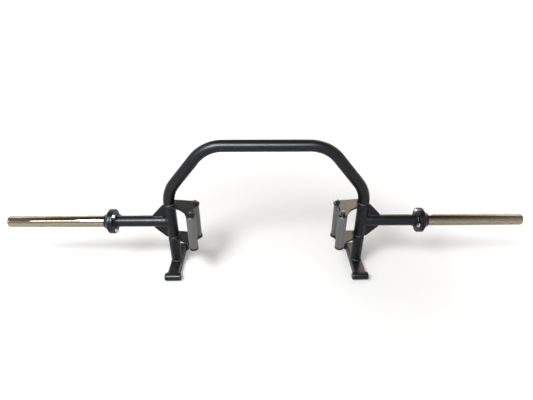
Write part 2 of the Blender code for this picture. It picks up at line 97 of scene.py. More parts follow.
def relief(finish, pattern, height):
    nodes, links = finish.node_tree.nodes, finish.node_tree.links
    bump = nodes.new("ShaderNodeBump")
    bump.inputs["Strength"].default_value = 1.0
    bump.inputs["Distance"].default_value = height
    links.new(pattern, bump.inputs["Height"])
    links.new(bump.outputs["Normal"], nodes["Principled BSDF"].inputs["Normal"])


powder_coat = new_finish("powder_coat", (0.006, 0.006, 0.007), 0.0, 0.30)
powder_coat.node_tree.nodes["Principled BSDF"].inputs["Specular IOR Level"].default_value = 0.19
tint(powder_coat, mottle(powder_coat, size=0.03), (0.0040, 0.0042, 0.0050), (0.0070, 0.0072, 0.0084))
gloss(powder_coat, mottle(powder_coat, size=0.012), 0.31, 0.38)
relief(powder_coat, mottle(powder_coat, size=0.0016), height=0.00001)


def form(points, faces, crease_deg=28.0):
    """A closed mesh with its faces turned outwards and its sharp edges kept."""
    mesh = bpy.data.meshes.new("form")
    mesh.from_pydata([tuple(p) for p in points], [], faces)
    shape = bmesh.new()
    shape.from_mesh(mesh)
    bmesh.ops.recalc_face_normals(shape, faces=shape.faces)
    shape.to_mesh(mesh)
    shape.free()
    mesh.shade_smooth()
    mesh.set_sharp_from_angle(angle=math.radians(crease_deg))
    return mesh


def strip(row_count, steps, joined):
    """Faces between rows of points that each run round once; joined links the last row to the first."""
    faces = []
    for row in range(row_count if joined else row_count - 1):
        here, ahead = row * steps, (row + 1) % row_count * steps
        for k in range(steps):
            beside = (k + 1) % steps
            faces.append((here + k, here + beside, ahead + beside, ahead + k))
    return faces


def fit(name, mesh, finish, nodes=(), place=None):
    """Put a piece on the bar, in place of the plain solids it stands for."""
    piece = bpy.data.objects.new(name, mesh)
    bpy.context.scene.collection.objects.link(piece)
    piece.matrix_world = place or Matrix.Identity(4)
    if not mesh.materials:
        mesh.materials.append(finish)
    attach(piece, "root")
    if nodes:
        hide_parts(*nodes)
    return piece


def coated(name, mesh, nodes=(), place=None):
    return fit(name, mesh, powder_coat, nodes, place)


def around(steps):
    return [2 * math.pi * k / steps for k in range(steps)]


def arc(centre, radius, start_deg, end_deg, count):
    angles = [math.radians(start_deg + (end_deg - start_deg) * i / (count - 1)) for i in range(count)]
    return [(centre[0] + radius * math.cos(a), centre[1] + radius * math.sin(a)) for a in angles]


def angle_deg(centre, target):
    return math.degrees(math.atan2(target[1] - centre[1], target[0] - centre[0]))


def bent_line(corners, radius, count):
    """The centre line of a tube bent to one radius at each corner."""
    line = [corners[0]]
    for before, corner, after in zip(corners, corners[1:], corners[2:]):
        back = (Vector(before) - Vector(corner)).normalized()
        on = (Vector(after) - Vector(corner)).normalized()
        half = back.angle(on) / 2
        centre = Vector(corner) + (back + on).normalized() * radius / math.sin(half)
        reach = radius / math.tan(half)
        start = angle_deg(centre, Vector(corner) + back * reach)
        turn = (angle_deg(centre, Vector(corner) + on * reach) - start + 180.0) % 360.0 - 180.0
        line += arc(centre, radius, start, start + turn, count)
    return line + [corners[-1]]


frame_low, frame_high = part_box("u_frame")
tube_r = frame_high.y
tube_wall = 0.004
bore_r = tube_r - tube_wall
arm_x = frame_high.x - tube_r
arm_foot_z = frame_low.z
sleeve_low, sleeve_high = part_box("sleeve_tube_right")
axis_z = (sleeve_low.z + sleeve_high.z) / 2
arm_bend_rise = 0.144
closed_end_half = 0.242
closed_end_z = frame_high.z - tube_r
right_corners = [(closed_end_half, closed_end_z), (arm_x, axis_z + arm_bend_rise), (arm_x, arm_foot_z)]
frame_corners = [(-x, z) for x, z in reversed(right_corners)] + right_corners
centre_line = bent_line(frame_corners, radius=0.150, count=26)
last_station = len(centre_line) - 1
tube_sides = 56
frame_points = []
for radius, stations in ((tube_r, range(last_station + 1)), (bore_r, range(last_station, -1, -1))):
    for i in stations:
        here = Vector(centre_line[i])
        along = Vector(centre_line[min(i + 1, last_station)]) - Vector(centre_line[max(i - 1, 0)])
        if i in (0, last_station):
            along = Vector((0.0, 1.0 if i == 0 else -1.0))
        across = Vector((-along.y, along.x)).normalized()
        for turn in around(tube_sides):
            out = across * radius * math.cos(turn)
            frame_points.append((here.x + out.x, radius * math.sin(turn), here.y + out.y))
coated("frame_tube", form(frame_points, strip(2 * len(centre_line), tube_sides, joined=True)), ["u_frame"])


# Stub tubes
# A length of the same tube on each side, coped to the arm and welded to it all round. The weld is
# one pass laid by hand, so it shows the even ripples of the torch.

sides = {"left": -1, "right": 1}


def bead(stations, closed=False, crown=0.0011, depth=0.0032, ripple=0.0024):
    """A pass of weld between two lines of toes; each station is a toe, the other toe and the way out."""
    slices_per_ripple, points_across = 5, 7
    taper, least_swell = 0.0025, 0.02
    ripple_lag, ripple_spread, ripple_low = 0.35, 0.07, 0.6
    fine = []
    count = len(stations) if closed else len(stations) - 1
    for i in range(count):
        a, b = stations[i], stations[(i + 1) % len(stations)]
        length = ((a[0] + a[1]) / 2 - (b[0] + b[1]) / 2).length
        steps = max(1, round(slices_per_ripple * length / ripple))
        for k in range(steps):
            fine.append([p.lerp(q, k / steps) for p, q in zip(a, b)])
    if not closed:
        fine.append(stations[-1])
    middles = [(toe + far) / 2 for toe, far, _ in fine]
    travel = [0.0]
    for before, here in zip(middles, middles[1:]):
        travel.append(travel[-1] + (here - before).length)
    total = travel[-1]
    if closed:
        ripple = total / round(total / ripple)
    points = []
    for (toe, far, way), middle, run in zip(fine, middles, travel):
        way = way.normalized()
        root = middle - way * depth
        swell = 1.0
        if not closed:
            from_end = min(1.0, min(run, total - run) / taper)
            swell = math.sqrt(max(least_swell, 1.0 - (1.0 - from_end) ** 2))
        for k in range(points_across):
            t = k / (points_across - 1)
            arch = 4 * t * (1 - t)
            coin = math.sin(math.pi * (((run + ripple_lag * ripple * arch) / ripple) % 1.0))
            edge = (toe.lerp(far, t) - middle) * (1.0 + ripple_spread * coin)
            rise = way * crown * arch * (ripple_low + (1 - ripple_low) * coin)
            points.append(root + (middle + edge + rise - root) * swell)
        points.append(root)
    slice_points = points_across + 1
    faces = strip(len(fine), slice_points, joined=closed)
    if not closed:
        faces += [tuple(range(slice_points)), tuple(range(len(points) - slice_points, len(points)))]
    return form(points, faces, crease_deg=60.0)


weld_leg = 0.0050
stub_recess = 0.001
saddle_lap = 0.0004
root_clearance = 0.0006
flange_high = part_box("stub_flange_right")[1]
stub_end = flange_high.x - stub_recess
for side_name, side in sides.items():
    stub_points = []
    for radius, at_flange in ((tube_r, False), (tube_r, True), (bore_r, True), (bore_r, False)):
        for turn in around(tube_sides):
            y, z = radius * math.cos(turn), radius * math.sin(turn)
            saddle = arm_x + math.sqrt(tube_r ** 2 - y ** 2) - saddle_lap
            stub_points.append((side * (stub_end if at_flange else saddle), y, axis_z + z))
    coated(f"stub_{side_name}", form(stub_points, strip(4, tube_sides, joined=True)),
           [f"stub_tube_{side_name}"])
    stations = []
    for turn in around(120):
        out = Vector((0.0, math.cos(turn), math.sin(turn)))
        corner_x = math.sqrt((tube_r + root_clearance) ** 2 - (tube_r * out.y) ** 2)
        root = Vector((corner_x, 0.0, 0.0)) + out * tube_r
        rise = abs(out.z)
        on_arm = root + (out * rise - Vector((1 - rise, 0, 0))).normalized() * weld_leg
        scale = tube_r / math.hypot(on_arm.x, on_arm.y)
        on_arm = Vector((on_arm.x * scale, on_arm.y * scale, on_arm.z))
        on_stub = root + Vector((weld_leg, 0.0, 0.0))
        way = Vector((on_arm.x, on_arm.y, 0.0)).normalized() + out
        toes = [Vector((side * (arm_x + toe.x), toe.y, axis_z + toe.z)) for toe in (on_arm, on_stub)]
        stations.append(toes + [Vector((side * way.x, way.y, way.z))])
    coated(f"stub_weld_{side_name}", bead(stations, closed=True))


# Gussets
# Blunt triangles of 8 mm plate, laser cut, in the corners above and below each stub. The inner
# corner is sniped to clear the saddle weld, and the two edges against the tubes are welded on
# both faces.

def eased(corners, ease, count=4):
    """Round each corner of a closed outline a little, over less than half of the edges beside it."""
    most_of_edge = 0.45
    path = []
    for i, corner in enumerate(corners):
        here = Vector(corner)
        back = Vector(corners[i - 1]) - here
        on = Vector(corners[(i + 1) % len(corners)]) - here
        start = here + back.normalized() * min(ease, most_of_edge * back.length)
        end = here + on.normalized() * min(ease, most_of_edge * on.length)
        for k in range(count):
            t = k / (count - 1)
            path.append(tuple(start * (1 - t) ** 2 + here * 2 * t * (1 - t) + end * t ** 2))
    return path


def plate(outline, thickness, ease):
    """A flat plate in its own xy plane whose cut edges are slightly rounded by the coating."""
    total, mitre_limit = len(outline), 0.5
    turning = sum(a[0] * b[1] - a[1] * b[0] for a, b in zip(outline, outline[1:] + outline[:1]))
    normals = []
    for i in range(total):
        back = (Vector(outline[i]) - Vector(outline[i - 1])).normalized()
        on = (Vector(outline[(i + 1) % total]) - Vector(outline[i])).normalized()
        bisector = Vector((back.y + on.y, -back.x - on.x)).normalized() * math.copysign(1.0, turning)
        normals.append(bisector / max(mitre_limit, math.sqrt((1 + back.dot(on)) / 2)))
    points = []
    edge = [(1 - x, z) for x, z in arc((0, 0), 1.0, 0.0, 90.0, 4)]
    layers = [(ease * i, thickness / 2 - ease + ease * h) for i, h in reversed(edge)]
    layers += [(inset, -level) for inset, level in reversed(layers)]
    for inset, level in layers:
        for (x, y), normal in zip(outline, normals):
            points.append((x - normal.x * inset, y - normal.y * inset, level))
    faces = strip(len(layers), total, joined=False)
    faces += [tuple(range(total)), tuple(range((len(layers) - 1) * total, len(layers) * total))]
    return form(points, faces)


def level_faces(piece):
    """Flat faces keep their own shading next to rounded edges."""
    shading = piece.modifiers.new("flat_faces", "WEIGHTED_NORMAL")
    shading.keep_sharp = True


gap = 0.0003
gusset_thick = 0.008
gusset_up, gusset_along = 0.056, 0.053
snipe, blunt = 0.009, 0.007
near = tube_r + gap
gusset_outline = [(near + snipe, near), (near, near + snipe),
                  (near, tube_r + gusset_up), (near + blunt, tube_r + gusset_up),
                  (tube_r + gusset_along, near + blunt), (tube_r + gusset_along, near)]
upright = Matrix.Rotation(math.pi / 2, 4, "X")
gusset_weld_leg = 0.0034
weld_shift = 0.001
half_thick = gusset_thick / 2
weld_half = half_thick + gusset_weld_leg
plate_foot, weld_foot = [math.sqrt(tube_r ** 2 - y ** 2) for y in (half_thick, weld_half)]
for side_name, side in sides.items():
    for level_name, level in (("upper", 1), ("lower", -1)):
        outline = [(side * x, level * y) for x, y in eased(gusset_outline, ease=0.0012, count=3)]
        gusset = coated(f"gusset_plate_{level_name}_{side_name}", plate(outline, gusset_thick, ease=0.0006),
                        [f"gusset_{level_name}_{side_name}"],
                        Matrix.Translation((side * arm_x, 0.0, axis_z)) @ upright)
        level_faces(gusset)
        for face_name, face in (("front", -1), ("back", 1)):
            for run_name, leg in (("stub", gusset_along), ("arm", gusset_up)):
                stations = []
                for along in (near + snipe - weld_shift, tube_r + leg - weld_shift):
                    spots = [(along, half_thick, plate_foot + gusset_weld_leg),
                             (along, weld_half, weld_foot)]
                    way = (0.0, 1.0, 1.0)
                    if run_name == "arm":
                        spots, way = [spot[::-1] for spot in spots], way[::-1]
                    toes = [Vector((side * (arm_x + x), face * y, axis_z + level * z)) for x, y, z in spots]
                    stations.append(toes + [Vector((side * way[0], face * way[1], level * way[2]))])
                coated(f"gusset_weld_{run_name}_{level_name}_{face_name}_{side_name}",
                       bead(stations, crown=0.0009, depth=0.0024))


# Stub flanges
# A turned steel ring on the end of each stub, 11 mm thick, with three bolt holes that are not cut here.
# A weld round the stub on its inner side holds it.

def turned(profile, steps=96, ring=True):
    """A profile of (radius, height) spun about z; without ring it runs from axis to axis."""
    points, rows = [], []
    for radius, height in profile:
        count = steps if radius > 0.0 else 1
        rows.append((len(points), count))
        for turn in around(steps)[:count]:
            points.append((radius * math.cos(turn), radius * math.sin(turn), height))
    faces = []
    for i in range(len(rows) if ring else len(rows) - 1):
        (a, many_a), (b, many_b) = rows[i], rows[(i + 1) % len(rows)]
        for k in range(steps):
            beside = (k + 1) % steps
            corners = [a + k % many_a, a + beside % many_a, b + beside % many_b, b + k % many_b]
            faces.append(tuple(dict.fromkeys(corners)))
    return form(points, faces)


def ring_profile(inner_r, outer_r, height):
    return [(inner_r, 0.0), (inner_r, height), (outer_r, height), (outer_r, 0.0)]


def facing(direction, spot):
    """A place whose local z axis points along x in the given direction, 1 or -1."""
    return Matrix.Translation(spot) @ Matrix.Rotation(direction * math.pi / 2, 4, "Y")


def ring_station(seat, out, rise):
    """A station of the weld between the tube and the flat face that it stands on or passes through."""
    return [seat + out * tube_r + rise * weld_leg, seat + out * (tube_r + weld_leg), out + rise]


flange_r = flange_high.y
flange_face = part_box("sleeve_hub_right")[0].x
flange_thick = 0.011
inner_face = flange_face - flange_thick
flange_bore_r = tube_r - 0.0005
flange_mesh = turned(eased(ring_profile(flange_bore_r, flange_r, flange_thick - gap), ease=0.0012))
for side_name, side in sides.items():
    seat = Vector((side * inner_face, 0.0, axis_z))
    coated(f"flange_ring_{side_name}", flange_mesh, [f"stub_flange_{side_name}"], facing(side, seat))
    inboard = Vector((-side, 0.0, 0.0))
    stations = [ring_station(seat, Vector((0.0, math.cos(turn), math.sin(turn))), inboard)
                for turn in around(96)]
    coated(f"flange_weld_{side_name}", bead(stations, closed=True))


# Sleeve hubs
# The other half of the bolted joint, turned in one piece: a flange with tapped holes, which are not
# cut here, then a shoulder and steps down to the ring where the plates stop. It is coated before the sleeve
# goes in.

hub_bore_r, hub_length = 0.0253, 0.033
stop_r, stop_start = 0.0305, 0.028
ring_r, ring_top = 0.035, 0.024
step_r, step_top = 0.0405, 0.020
shoulder_r, shoulder_top = flange_r - 0.004, flange_thick + 0.002
chamfer = 0.001
hub_profile = [(hub_bore_r, 0.0), (hub_bore_r, hub_length), (stop_r, hub_length), (stop_r, stop_start),
               (ring_r, ring_top), (step_r, step_top), (shoulder_r, shoulder_top),
               (flange_r - chamfer, flange_thick), (flange_r, flange_thick - chamfer), (flange_r, 0.0)]
hub_mesh = turned(eased(hub_profile, ease=0.0013))
for side_name, side in sides.items():
    coated(f"hub_{side_name}", hub_mesh, [f"sleeve_hub_{side_name}"],
           facing(side, (side * flange_face, 0.0, axis_z)))


# Flange bolts and washers
# Three hexagon bolts on each side hold the sleeve on, with their heads inboard and a flat washer
# under each. They are bright zinc plated.

zinc = new_finish("zinc", (0.62, 0.66, 0.70), 1.0, 0.30)
tint(zinc, mottle(zinc, size=0.003), (0.34, 0.37, 0.40), (0.50, 0.54, 0.58))
gloss(zinc, mottle(zinc, size=0.002), 0.26, 0.38)

small_steps = 72
bolt_r, bolt_clearance, thread_pitch = 0.005, 0.0005, 0.0015


def circle_row(radius, height):
    return [(radius * math.cos(turn), radius * math.sin(turn), height) for turn in around(small_steps)]


def hexagon_rows(across_flats, height, crowned_below):
    """Rows of a hexagon whose corners are turned down, from its top face to its underside."""
    flat_r = across_flats / 2
    crown_r = 0.94 * flat_r
    slope = math.tan(math.radians(30))
    upper, lower = [], []
    for turn in around(small_steps):
        radius = flat_r / math.cos((turn + math.pi / 6) % (math.pi / 3) - math.pi / 6)
        drop = (radius - crown_r) * slope
        spot = (radius * math.cos(turn), radius * math.sin(turn))
        upper.append((*spot, height - drop))
        lower.append((*spot, drop if crowned_below else 0.0))
    rows = [circle_row(crown_r, height), upper, lower]
    return rows + [circle_row(crown_r, 0.0)] if crowned_below else rows


def rows_form(rows, capped=True):
    steps = len(rows[0])
    points = [point for row in rows for point in row]
    faces = strip(len(rows), steps, joined=not capped)
    if capped:
        faces += [tuple(range(steps)), tuple(range(len(points) - steps, len(points)))]
    return form(points, faces)


def threaded_rows(start, end):
    """Rows of a cut thread from a start height down to an end height, fading out at both."""
    rows_per_turn, fade_rows = 8, 4
    depth_share = 0.55
    rows = []
    count = round(rows_per_turn * (start - end) / thread_pitch)
    for i in range(count + 1):
        height = start + (end - start) * i / count
        fade = min(1.0, i / fade_rows, (count - i) / fade_rows)
        row = []
        for turn in around(small_steps):
            wave = abs(((height / thread_pitch + turn / (2 * math.pi)) % 1.0) * 2 - 1)
            r = bolt_r - fade * depth_share * thread_pitch * wave
            row.append((r * math.cos(turn), r * math.sin(turn), height))
        rows.append(row)
    return rows


def bolt_form(shank, across_flats, head):
    """A hexagon bolt, its head above z = 0 and its shank below, threaded over the last 12 mm."""
    threaded, lead = 0.0118, 0.0002
    point, point_inset = 0.0008, 0.0010
    rows = hexagon_rows(across_flats, head, crowned_below=False)
    rows += [circle_row(bolt_r, 0.0), circle_row(bolt_r, threaded + lead - shank)]
    rows += threaded_rows(threaded - shank, point - shank)
    rows += [circle_row(bolt_r - point_inset, -shank)]
    return rows_form(rows)


def washer_form(outer, thickness):
    profile = ring_profile(bolt_r + bolt_clearance, outer / 2, thickness)
    return turned(eased(profile, ease=0.0004, count=3), small_steps)


def centre_of(node):
    low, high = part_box(node)
    return (low + high) / 2


def size_of(node):
    low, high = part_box(node)
    return high - low


flange_washer_size = size_of("flange_washer_left_1")
flange_washer_mesh = washer_form(flange_washer_size.y, flange_washer_size.x)
flange_bolt_size = size_of("flange_bolt_left_1")
flange_head = 0.0064
flange_bolt_mesh = bolt_form(flange_bolt_size.x - flange_head, flange_bolt_size.y, flange_head)
bolt_turns = {"left_1": 17, "left_2": 41, "left_3": 5, "right_1": 33, "right_2": 52, "right_3": 11}
for tag, turn_deg in bolt_turns.items():
    side = sides[tag.split("_")[0]]
    node = f"flange_washer_{tag}"
    middle = centre_of(node)
    spot = middle - Vector((side * size_of(node).x / 2, 0.0, 0.0))
    fit(f"washer_flange_{tag}", flange_washer_mesh, zinc, [node], facing(side, spot))
    low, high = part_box(f"flange_bolt_{tag}")
    under_head = low.x + flange_head if side > 0 else high.x - flange_head
    turn = Matrix.Rotation(math.radians(turn_deg), 4, "Z")
    fit(f"bolt_flange_{tag}", flange_bolt_mesh, zinc, [f"flange_bolt_{tag}"],
        facing(-side, (under_head, middle.y, middle.z)) @ turn)


# Sleeves
# Plain steel tube of 50 mm outside diameter, let into the hub and closed by a turned end with a
# rounded edge. Both are ground and hard chromed, and show faint lines round them from polishing.

# The chrome's dark, warm brown colour is a painted reflection of a dim brown room; real hard chrome is
# brighter and more neutral. The faint polishing lines in it vary at random.
chrome = new_finish("chrome", (0.24, 0.205, 0.155), 1.0, 0.06)
polished_tint = mottle(chrome, size=0.02, detail=3.0, stretch=(6.0, 1.0, 1.0))
polished_gloss = mottle(chrome, size=0.01, detail=3.0, stretch=(12.0, 1.0, 1.0))
tint(chrome, polished_tint, (0.20, 0.172, 0.130), (0.27, 0.235, 0.183))
gloss(chrome, polished_gloss, 0.055, 0.065)

sleeve_steps = 128
sleeve_r = sleeve_high.y
sleeve_bore_r = sleeve_r - 0.005
sleeve_length = sleeve_high.x - sleeve_low.x
sleeve_profile = ring_profile(sleeve_bore_r, sleeve_r, sleeve_length)
sleeve_mesh = turned(eased(sleeve_profile, ease=0.0003, count=3), sleeve_steps)
cap_start = sleeve_high.x
cap_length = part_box("sleeve_cap_right")[1].x - cap_start
cap_round = 0.006
cap_back, cap_back_ease = 0.0001, 0.0003
spigot_r, spigot_length = sleeve_r - 0.0055, 0.012
cap_profile = [(0.0, cap_length)]
cap_profile += arc((sleeve_r - cap_round, cap_length - cap_round), cap_round, 90.0, 0.0, 12)
cap_profile += [(sleeve_r, cap_back_ease), (sleeve_r - cap_back_ease, cap_back),
                (spigot_r, cap_back), (spigot_r, -spigot_length), (0.0, -spigot_length)]
cap_mesh = turned(cap_profile, sleeve_steps, ring=False)
for side_name, side in sides.items():
    fit(f"sleeve_{side_name}", sleeve_mesh, chrome,
        [f"sleeve_tube_{side_name}"], facing(side, (side * sleeve_low.x, 0.0, axis_z)))
    fit(f"sleeve_end_{side_name}", cap_mesh, chrome,
        [f"sleeve_cap_{side_name}"], facing(side, (side * cap_start, 0.0, axis_z)))


# Handle plates
# Two laser-cut 8 mm plates on each arm. Each wraps the arm, sweeps round to a rounded ear for each
# grip, and is welded to the arm on both faces.

def tangent_centre(centre_a, radius_a, centre_b, radius_b, radius, side_of_line):
    """Centre of a circle that touches two others from outside, on one side of their centre line."""
    span = Vector(centre_b) - Vector(centre_a)
    reach_a, reach_b = radius + radius_a, radius + radius_b
    forward = (reach_a ** 2 - reach_b ** 2 + span.length_squared) / (2 * span.length)
    offset = math.sqrt(reach_a ** 2 - forward ** 2)
    direction = span.normalized()
    across = Vector((-direction.y, direction.x))
    return Vector(centre_a) + direction * forward + across * offset * side_of_line


low_grip = centre_of("grip_low_right")
high_grip = centre_of("grip_high_right")
low_ear = (arm_x - low_grip.x, -low_grip.y)
high_ear = (arm_x - high_grip.x, -high_grip.y)
ear_r = 0.019
collar_r = tube_r + 0.008
collar_end = 115.0
collar_lap = 0.0004
plate_thick = 0.008
waist_r, sweep_r = 0.044, 0.085
waist = tangent_centre(low_ear, ear_r, high_ear, ear_r, waist_r, -1)
sweep = tangent_centre((0, 0), collar_r, high_ear, ear_r, sweep_r, 1)
back_deg = -math.degrees(math.acos((collar_r - ear_r) / low_ear[0]))
plate_outline = arc((0, 0), tube_r - collar_lap, collar_end, -collar_end, 56)
plate_outline += arc((0, 0), collar_r, -collar_end, back_deg, 10)
plate_outline += arc(low_ear, ear_r, back_deg, angle_deg(low_ear, waist), 20)
waist_start = angle_deg(waist, low_ear) + 360.0
plate_outline += arc(waist, waist_r, waist_start, angle_deg(waist, high_ear), 20)[1:-1]
plate_outline += arc(high_ear, ear_r, angle_deg(high_ear, waist), angle_deg(high_ear, sweep), 36)
plate_outline += arc(sweep, sweep_r, angle_deg(sweep, high_ear), angle_deg(sweep, (0, 0)), 24)[1:-1]
plate_outline += arc((0, 0), collar_r, angle_deg((0, 0), sweep), collar_end, 14)
collar_weld_end = collar_end - 8.0
for side_name, side in sides.items():
    outline = [(side * (arm_x - u), -v) for u, v in plate_outline]
    low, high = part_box(f"grip_low_{side_name}")
    middles = {"upper": high.z + gap + plate_thick / 2, "lower": low.z - gap - plate_thick / 2}
    for level_name, middle_z in middles.items():
        handle = coated(f"grip_plate_{level_name}_{side_name}", plate(outline, plate_thick, ease=0.0008),
                        [f"handle_plate_{level_name}_{side_name}"],
                        Matrix.Translation((0.0, 0.0, middle_z)))
        level_faces(handle)
        for face_name, face in (("top", 1), ("under", -1)):
            seat = Vector((side * arm_x, 0.0, middle_z + face * plate_thick / 2))
            lift = Vector((0.0, 0.0, face))
            stations = [ring_station(seat, Vector((-side * u, -v, 0.0)), lift)
                        for u, v in arc((0, 0), 1.0, -collar_weld_end, collar_weld_end, 70)]
            coated(f"plate_weld_{level_name}_{face_name}_{side_name}", bead(stations))


# Grips
# Bare steel bars with a diamond knurl over their whole length, clamped between the plates: a slim
# one in the plane of the frame and a thick one in front of it. The knurl's grooves are coloured darker than
# its peaks.

grip_steel = new_finish("grip_steel", (0.40, 0.40, 0.41), 1.0, 0.38)
knurl = grip_steel.node_tree.nodes.new("ShaderNodeAttribute")
knurl.attribute_name = "knurl"
# Colour runs from dark in the knurl's grooves to bright steel on its peaks.
tint(grip_steel, knurl.outputs["Fac"], (0.045, 0.043, 0.039), (0.31, 0.307, 0.305), start=0.0, end=1.0)
gloss(grip_steel, mottle(grip_steel, size=0.006), 0.30, 0.46)


def knurled_form(diameter, length):
    """A bar of small pyramids, four facets each, between two plain chamfered ends."""
    pyramid_width, pyramid_rise, depth = 0.0017, 0.00147, 0.00038
    band, band_ease, chamfer = 0.0016, 0.0002, 0.0011
    radius = diameter / 2
    groove_r, end_r = radius - depth, radius - 0.0014
    around_count = round(math.pi * diameter / pyramid_width)
    row_count = round((length - 2 * band) / pyramid_rise)
    row_step = (length - 2 * band) / row_count
    points, values = [], []

    def ring(r, z, shift, value, count=around_count):
        start = len(points)
        for k in range(count):
            turn = 2 * math.pi * (k + shift) / count
            points.append((r * math.cos(turn), r * math.sin(turn), z))
            values.append(value)
        return start

    lows = [ring(groove_r, band + j * row_step, 0.5 * (j % 2), 0.0) for j in range(row_count + 1)]
    peaks = [ring(radius, band + j * row_step, 0.5 + 0.5 * (j % 2), 1.0) for j in range(row_count + 1)]
    faces = []
    for j in range(row_count + 1):
        for k in range(around_count):
            peak = peaks[j] + k
            left, right = lows[j] + k, lows[j] + (k + 1) % around_count
            beside = k if j % 2 == 0 else (k + 1) % around_count
            if j < row_count:
                above = lows[j + 1] + beside
                faces += [(left, peak, above), (peak, right, above)]
            if j > 0:
                below = lows[j - 1] + beside
                faces += [(peak, left, below), (right, peak, below)]
    # The plain chamfered ends are painted almost as dark as the grooves, a painted shade that dims the
    # lamp's glint on them.
    end_count, end_painted_shade = 2 * around_count, 0.1
    for j, outline in ((0, [(groove_r, band - band_ease), (groove_r, chamfer), (end_r, 0.0)]),
                       (row_count, [(groove_r, length - band + band_ease), (groove_r, length - chamfer),
                                    (end_r, length)])):
        edge = [i for k in range(around_count) for i in (lows[j] + k, peaks[j] + k)]
        for r, z in outline:
            start = ring(r, z, j % 2, end_painted_shade, end_count)
            after = list(range(start, start + end_count))
            for k in range(end_count):
                beside = (k + 1) % end_count
                faces.append((edge[k], edge[beside], after[beside], after[k]))
            edge = after
        faces.append(tuple(edge))
    mesh = form(points, faces, crease_deg=20.0)
    mesh.attributes.new("knurl", "FLOAT", "POINT").data.foreach_set("value", values)
    return mesh


grip_length = size_of("grip_low_left").z
grip_meshes = {"low": knurled_form(size_of("grip_low_left").x, grip_length),
               "high": knurled_form(size_of("grip_high_left").x, grip_length)}
for side_name in sides:
    for grip_name, mesh in grip_meshes.items():
        node = f"grip_{grip_name}_{side_name}"
        middle = centre_of(node)
        fit(f"knurled_grip_{grip_name}_{side_name}", mesh, grip_steel, [node],
            Matrix.Translation((middle.x, middle.y, middle.z - grip_length / 2)))


# Grip bolts, nuts and washers
# A black-oxide hexagon bolt runs right through each grip from below, with a flat washer under its
# head and another under the nut on top, where the end of its thread stands out.

black_oxide = new_finish("black_oxide", (0.05, 0.05, 0.055), 1.0, 0.38)
tint(black_oxide, mottle(black_oxide, size=0.002), (0.045, 0.046, 0.05), (0.12, 0.122, 0.13))
gloss(black_oxide, mottle(black_oxide, size=0.0015), 0.20, 0.34)

grip_washer_size = size_of("grip_washer_low_upper_left")
grip_washer_mesh = washer_form(grip_washer_size.x, grip_washer_size.z)
grip_bolt_size = size_of("grip_bolt_low_left")
grip_head = 0.005
grip_bolt_mesh = bolt_form(grip_bolt_size.z - grip_head, grip_bolt_size.x, grip_head)
nut_size = size_of("grip_nut_low_left")
nut_bore_r, nut_mouth_r, nut_mouth = 0.0051, 0.0057, 0.0006
nut_rows = [circle_row(nut_bore_r, nut_size.z - nut_mouth), circle_row(nut_mouth_r, nut_size.z)]
nut_rows += hexagon_rows(nut_size.x, nut_size.z, crowned_below=True)
nut_rows += [circle_row(nut_mouth_r, 0.0), circle_row(nut_bore_r, nut_mouth)]
nut_mesh = rows_form(nut_rows, capped=False)
head_down = Matrix.Rotation(math.pi, 4, "X")
nut_turns = {"low_left": 12, "high_left": 47, "low_right": 28, "high_right": 3}
for tag, turn_deg in nut_turns.items():
    grip_name, side_name = tag.split("_")
    for level_name in ("upper", "lower"):
        node = f"grip_washer_{grip_name}_{level_name}_{side_name}"
        middle = centre_of(node)
        fit(f"washer_grip_{level_name}_{tag}", grip_washer_mesh, black_oxide, [node],
            Matrix.Translation((middle.x, middle.y, middle.z - grip_washer_size.z / 2)))
    turn = Matrix.Rotation(math.radians(turn_deg), 4, "Z")
    under_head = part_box(f"grip_bolt_{tag}")[0].z + grip_head
    fit(f"bolt_grip_{tag}", grip_bolt_mesh, black_oxide, [f"grip_bolt_{tag}"],
        Matrix.Translation((middle.x, middle.y, under_head)) @ head_down @ turn)
    nut_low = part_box(f"grip_nut_{tag}")[0].z
    fit(f"nut_grip_{tag}", nut_mesh, black_oxide, [f"grip_nut_{tag}"],
        Matrix.Translation((middle.x, middle.y, nut_low)) @ turn)


# Jack feet
# A channel formed from 5 mm plate, open below, sits square across each arm's end and is welded to
# it. A solid round bar is welded across each of its coped ends.

foot_wall, foot_bend = 0.005, 0.006
bar_low, bar_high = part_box("foot_bar_right")
bar_r = (bar_high.z - bar_low.z) / 2
bar_y = abs(bar_low.y + bar_high.y) / 2
bar_half = (bar_high.x - bar_low.x) / 2
channel_half = size_of("foot_channel_right").x / 2
channel_reach = size_of("foot_channel_right").y / 2
channel_top = arm_foot_z - gap
bend_x, bend_z = foot_bend - channel_half, channel_top - foot_bend
inner_bend = foot_bend - foot_wall
cope_gap = 0.0002
wall_steps = 12

outer, inner = [], []
for step in range(wall_steps + 1):
    level = bend_z * step / wall_steps
    outer.append((-channel_half, level))
    inner.append((-channel_half + foot_wall, level))
for x, z in arc((0, 0), 1.0, 180.0, 90.0, 8)[1:]:
    outer.append((bend_x + x * foot_bend, bend_z + z * foot_bend))
    inner.append((bend_x + x * inner_bend, bend_z + z * inner_bend))
outer += [(-x, z) for x, z in reversed(outer)]
inner += [(-x, z) for x, z in reversed(inner)]
section = outer + inner[::-1]
channel_points = []
for end in (-1, 1):
    for x, z in section:
        cope = bar_y - math.sqrt(max(0.0, (bar_r + cope_gap) ** 2 - (z - bar_r) ** 2))
        channel_points.append((x, end * min(channel_reach, cope), z))
channel_faces = strip(2, len(section), joined=False)
for start in (0, len(section)):
    for k in range(len(outer) - 1):
        across = start + len(section) - 2 - k
        channel_faces.append((start + k, start + k + 1, across, across + 1))
channel_mesh = form(channel_points, channel_faces)

